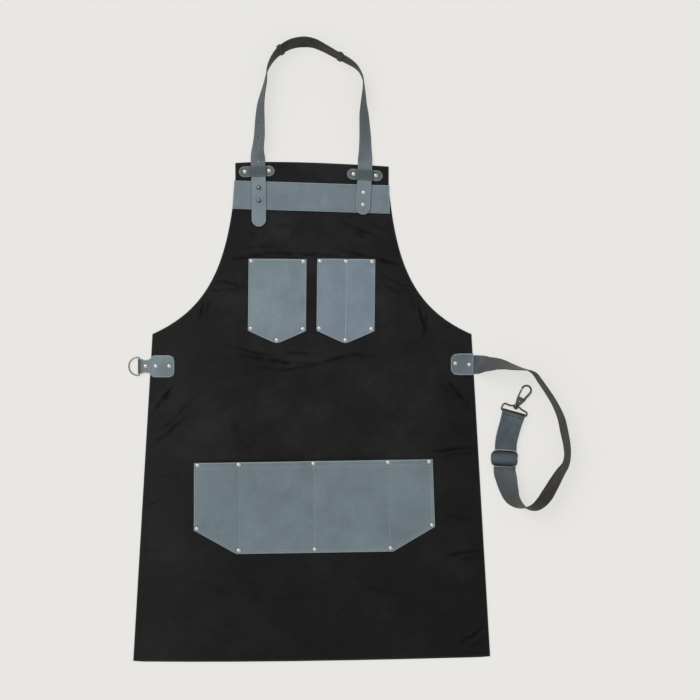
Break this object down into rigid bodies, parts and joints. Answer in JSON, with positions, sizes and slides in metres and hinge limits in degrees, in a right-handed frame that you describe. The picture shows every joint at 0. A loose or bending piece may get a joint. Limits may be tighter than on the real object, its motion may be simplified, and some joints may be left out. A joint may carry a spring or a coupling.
{
  "type": "artist apron",
  "caption": "Black canvas bib apron with grey leather band, patch pockets, neck strap, and a waist strap whose slider and swivel snap hook fasten to a D-ring.",
  "frame": {"origin": "on the table, at the middle of the bottom hem's back face, as the apron lies on its back", "axes": "+X to the viewer's right, +Y up the apron towards the neck, +Z out of its front face"},
  "size_m": [0.7651, 1.0832, 0.0406],
  "materials": {
    "black_canvas": "matt woven cotton canvas",
    "grey_leather": "blue-grey waxed leather, soft sheen",
    "strap_leather": "blue-grey waxed leather with a dark raw back",
    "nickel": "polished nickel plate",
    "gunmetal": "dark antique plate, worn brighter on its edges"
  },
  "bodies": {
    "root": {"ball_stud_lower": "gunmetal", "ball_stud_upper": "gunmetal", "bib_band": "grey_leather", "canvas_body": "black_canvas", "chest_pocket_left": "grey_leather", "chest_pocket_left_rivet_1": "nickel", "chest_pocket_left_rivet_2": "nickel", "chest_pocket_left_rivet_3": "nickel", "chest_pocket_left_rivet_4": "nickel", "chest_pocket_left_rivet_5": "nickel", "chest_pocket_right": "grey_leather", "chest_pocket_right_rivet_1": "nickel", "chest_pocket_right_rivet_2": "nickel", "chest_pocket_right_rivet_3": "nickel", "chest_pocket_right_rivet_4": "nickel", "chest_pocket_right_rivet_5": "nickel", "chest_pocket_right_rivet_6": "nickel", "d_ring_tab": "grey_leather", "d_ring_tab_rivet_1": "nickel", "d_ring_tab_rivet_2": "nickel", "d_ring_tab_rivet_3": "nickel", "lower_pocket": "grey_leather", "lower_pocket_rivet_1": "nickel", "lower_pocket_rivet_10": "nickel", "lower_pocket_rivet_2": "nickel", "lower_pocket_rivet_3": "nickel", "lower_pocket_rivet_4": "nickel", "lower_pocket_rivet_5": "nickel", "lower_pocket_rivet_6": "nickel", "lower_pocket_rivet_7": "nickel", "lower_pocket_rivet_8": "nickel", "lower_pocket_rivet_9": "nickel", "neck_end_rivet_1": "nickel", "neck_end_rivet_2": "nickel", "neck_loop_left": "strap_leather", "neck_loop_right": "strap_leather", "neck_strap": "strap_leather", "strap_keeper_left": "strap_leather", "strap_keeper_left_rivet_1": "nickel", "strap_keeper_left_rivet_2": "nickel", "strap_keeper_right": "strap_leather", "strap_keeper_right_rivet_1": "nickel", "strap_keeper_right_rivet_2": "nickel", "waist_patch": "grey_leather", "waist_patch_rivet_1": "nickel", "waist_patch_rivet_2": "nickel", "waist_strap": "strap_leather"},
    "d_ring": {"d_ring": "nickel"},
    "slider": {"slider_frame": "gunmetal", "slider_sleeve": "strap_leather"},
    "hook_eye": {"hook_eye": "gunmetal"},
    "hook_body": {"hook_body": "gunmetal", "hook_pivot_pin": "nickel"},
    "hook_gate": {"hook_gate": "gunmetal"}
  },
  "joints": [
    {"name": "d_ring_swing", "type": "hinge", "parent": "root", "child": "d_ring", "pos_m": [-0.3, 0.5093, 0.0028], "axis": [0, 1, 0], "range_deg": [0, 150]},
    {"name": "slider_travel", "type": "slide", "parent": "root", "child": "slider", "axis": [0.0523, 0.9986, 0], "range_m": [-0.0015, 0.011]},
    {"name": "hook_eye_swing", "type": "hinge", "parent": "root", "child": "hook_eye", "pos_m": [0.3506, 0.4283, 0.0047], "axis": [0.9632, -0.2689, 0], "range_deg": [0, 120]},
    {"name": "hook_swivel", "type": "hinge", "parent": "hook_eye", "child": "hook_body", "pos_m": [0.35519, 0.44029, 0.00403], "axis": [-0.4536, -0.8897, 0.0513], "continuous": true},
    {"name": "hook_gate", "type": "hinge", "parent": "hook_body", "child": "hook_gate", "pos_m": [0.36111, 0.44792, 0.00356], "axis": [-0.0141, -0.0504, -0.9986], "range_deg": [0, 24], "stiffness_Nm_per_rad": 0.01, "springref_deg": -20.05}
  ]
}
